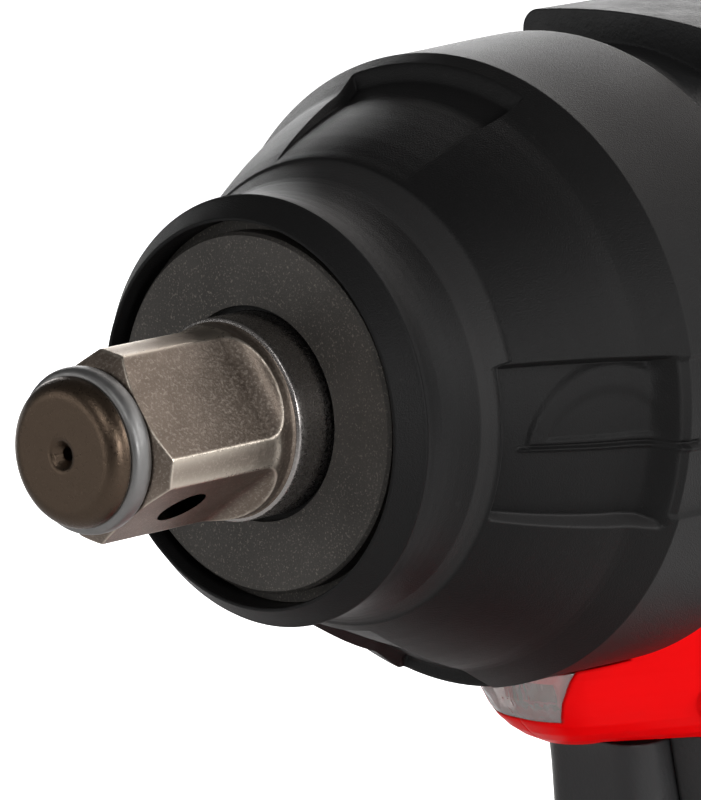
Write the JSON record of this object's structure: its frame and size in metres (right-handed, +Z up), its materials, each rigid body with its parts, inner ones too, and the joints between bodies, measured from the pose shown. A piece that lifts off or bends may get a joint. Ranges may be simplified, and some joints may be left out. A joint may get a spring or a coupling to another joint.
{
  "type": "impact wrench",
  "caption": "Cordless pistol-grip impact wrench with a square friction-ring drive, rubber nose boot, lamp under the barrel, trigger, and a slide-off battery pack.",
  "frame": {"origin": "centre of the battery pack's bottom face, which the tool stands on", "axes": "+X forward along the drive, +Y to the tool's left, +Z up"},
  "size_m": [0.2159, 0.0806, 0.2765],
  "materials": {
    "anvil_steel": "satin",
    "ring_steel": "satin",
    "case_metal": "blasted",
    "dark_steel": "satin",
    "bright_steel": "ground",
    "bronze": "satin",
    "boot_rubber": "satin",
    "grip_rubber": "matt",
    "red_plastic": "semi gloss",
    "black_plastic": "fine texture",
    "dark_plastic": "satin",
    "clear_plastic": "clear",
    "gear_case_metal": "cast",
    "copper": "enamelled",
    "board": "satin",
    "cell_metal": "sleeved",
    "nickel": "satin",
    "brass": "turned",
    "white_plastic": "satin"
  },
  "bodies": {
    "tool": {"nose_seal": "boot_rubber", "anvil_bushing": "bronze", "anvil_thrust_washer": "bright_steel", "hammer_case": "case_metal", "hammer_case_boot": "boot_rubber", "hammer_case_screws": "dark_steel", "ring_gear": "dark_steel", "gear_case": "gear_case_metal", "gear_case_plate": "gear_case_metal", "spindle_bearing": "bright_steel", "rotor_front_bearing": "bright_steel", "rotor_rear_bearing": "bright_steel", "stator_core": "dark_steel", "stator_windings": "copper", "stator_insulators": "white_plastic", "motor_board": "board", "housing_left": "red_plastic", "housing_right": "red_plastic", "housing_screws": "dark_steel", "hook_inserts": "brass", "grip_rubber_left": "grip_rubber", "grip_rubber_right": "grip_rubber", "barrel_rubber": "grip_rubber", "rear_cover": "black_plastic", "lamp_lens": "clear_plastic", "lamp_board": "board", "trigger_switch": "dark_plastic", "control_module": "dark_plastic", "terminal_block": "black_plastic", "mode_panel": "dark_plastic"},
    "anvil": {"anvil": "anvil_steel", "friction_ring": "ring_steel", "friction_ring_backing_ring": "boot_rubber"},
    "spindle": {"spindle": "dark_steel", "planet_pins": "bright_steel", "hammer_spring": "bright_steel"},
    "spring_seat": {"spring_thrust_bearing": "bright_steel"},
    "hammer": {"hammer": "dark_steel", "cam_balls": "bright_steel"},
    "rotor": {"rotor_shaft": "bright_steel", "rotor_core": "dark_steel", "rotor_magnets": "nickel", "fan": "black_plastic"},
    "planet_1": {"planet_gear_1": "dark_steel"},
    "planet_2": {"planet_gear_2": "dark_steel"},
    "planet_3": {"planet_gear_3": "dark_steel"},
    "trigger": {"trigger": "black_plastic"},
    "direction_lever": {"direction_lever": "black_plastic"},
    "mode_button": {"mode_button": "dark_plastic"},
    "battery": {"battery_case_upper": "black_plastic", "battery_case_lower": "black_plastic", "battery_cells": "cell_metal", "cell_holders": "white_plastic", "cell_straps": "nickel", "battery_board": "board", "battery_screws": "dark_steel", "fuel_gauge_window": "dark_plastic"},
    "latch_left": {"latch_left": "red_plastic"},
    "latch_right": {"latch_right": "red_plastic"},
    "fuel_gauge_button": {"fuel_gauge_button": "red_plastic"}
  },
  "joints": [
    {"name": "spindle_spin", "type": "hinge", "parent": "tool", "child": "spindle", "pos_m": [0, 0, 0.235], "axis": [1, 0, 0], "continuous": true},
    {"name": "anvil_spin", "type": "hinge", "parent": "tool", "child": "anvil", "pos_m": [0, 0, 0.235], "axis": [1, 0, 0], "continuous": true},
    {"name": "hammer_retract", "type": "slide", "parent": "spindle", "child": "spring_seat", "axis": [-1, 0, 0], "range_m": [0, 0.009], "stiffness_N_per_m": 20000, "springref_m": -0.01, "deforming": ["hammer_spring"]},
    {"name": "hammer_turn", "type": "hinge", "parent": "spring_seat", "child": "hammer", "pos_m": [0, 0, 0.235], "axis": [1, 0, 0], "range_deg": [-40, 0]},
    {"name": "rotor_spin", "type": "hinge", "parent": "tool", "child": "rotor", "pos_m": [0, 0, 0.235], "axis": [1, 0, 0], "continuous": true},
    {"name": "trigger_pull", "type": "slide", "parent": "tool", "child": "trigger", "axis": [-1, 0, 0], "range_m": [0, 0.007], "stiffness_N_per_m": 900, "springref_m": -0.004},
    {"name": "direction_shift", "type": "slide", "parent": "tool", "child": "direction_lever", "axis": [0, 1, 0], "range_m": [-0.004, 0.004]},
    {"name": "mode_press", "type": "slide", "parent": "tool", "child": "mode_button", "axis": [0, 0, -1], "range_m": [0, 0.0008], "stiffness_N_per_m": 1500, "springref_m": -0.0005},
    {"name": "battery_slide", "type": "slide", "parent": "tool", "child": "battery", "axis": [1, 0, 0], "range_m": [0, 0.09]},
    {"name": "latch_left_press", "type": "slide", "parent": "battery", "child": "latch_left", "axis": [0, -1, 0], "range_m": [0, 0.0025], "stiffness_N_per_m": 1800, "springref_m": -0.002},
    {"name": "latch_right_press", "type": "slide", "parent": "battery", "child": "latch_right", "axis": [0, 1, 0], "range_m": [0, 0.0025], "stiffness_N_per_m": 1800, "springref_m": -0.002},
    {"name": "fuel_gauge_press", "type": "slide", "parent": "battery", "child": "fuel_gauge_button", "axis": [-1, 0, 0], "range_m": [0, 0.0008], "stiffness_N_per_m": 1500, "springref_m": -0.0005},
    {"name": "planet_1_spin", "type": "hinge", "parent": "spindle", "child": "planet_1", "pos_m": [0, 0, 0.25], "axis": [1, 0, 0], "continuous": true},
    {"name": "planet_2_spin", "type": "hinge", "parent": "spindle", "child": "planet_2", "pos_m": [0, -0.01299, 0.2275], "axis": [1, 0, 0], "continuous": true},
    {"name": "planet_3_spin", "type": "hinge", "parent": "spindle", "child": "planet_3", "pos_m": [0, 0.01299, 0.2275], "axis": [1, 0, 0], "continuous": true}
  ],
  "couplings": [
    {"joint": "anvil_spin", "follows": "spindle_spin", "ratio": 1},
    {"joint": "rotor_spin", "follows": "spindle_spin", "ratio": 5},
    {"joint": "hammer_turn", "follows": "hammer_retract", "rad_per_m": -77.57},
    {"joint": "planet_1_spin", "follows": "spindle_spin", "ratio": -2.6667},
    {"joint": "planet_2_spin", "follows": "spindle_spin", "ratio": -2.6667},
    {"joint": "planet_3_spin", "follows": "spindle_spin", "ratio": -2.6667}
  ]
}
